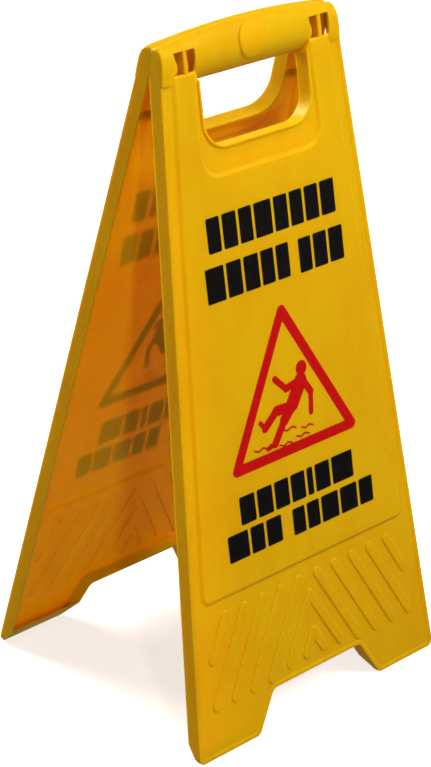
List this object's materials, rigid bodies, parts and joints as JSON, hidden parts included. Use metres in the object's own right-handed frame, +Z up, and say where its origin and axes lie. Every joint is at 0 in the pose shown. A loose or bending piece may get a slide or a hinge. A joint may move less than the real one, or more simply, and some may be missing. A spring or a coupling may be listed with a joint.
{
  "type": "folding wet floor sign",
  "caption": "Folding A-frame floor sign: two moulded leaves hinged at a carrying grip, each with a raised label panel and print.",
  "frame": {"origin": "on the floor, under the middle of the open sign", "axes": "+X across the sign along the hinge axis, +Y from the front leaf to the rear leaf, +Z up"},
  "size_m": [0.2988, 0.2692, 0.6034],
  "materials": {
    "yellow_plastic": "injection moulded polypropylene, satin, slightly translucent",
    "black_ink": "printed ink, satin",
    "red_ink": "printed ink, satin"
  },
  "bodies": {
    "front_leaf_body": {"front_leaf": "yellow_plastic", "front_black_print": "black_ink", "front_red_print": "red_ink"},
    "rear_leaf_body": {"rear_leaf": "yellow_plastic", "rear_black_print": "black_ink", "rear_red_print": "red_ink"}
  },
  "joints": [
    {"name": "fold", "type": "hinge", "parent": "front_leaf_body", "child": "rear_leaf_body", "pos_m": [0, 0, 0.57563], "axis": [-1, 0, 0], "range_deg": [0, 23.6]}
  ]
}
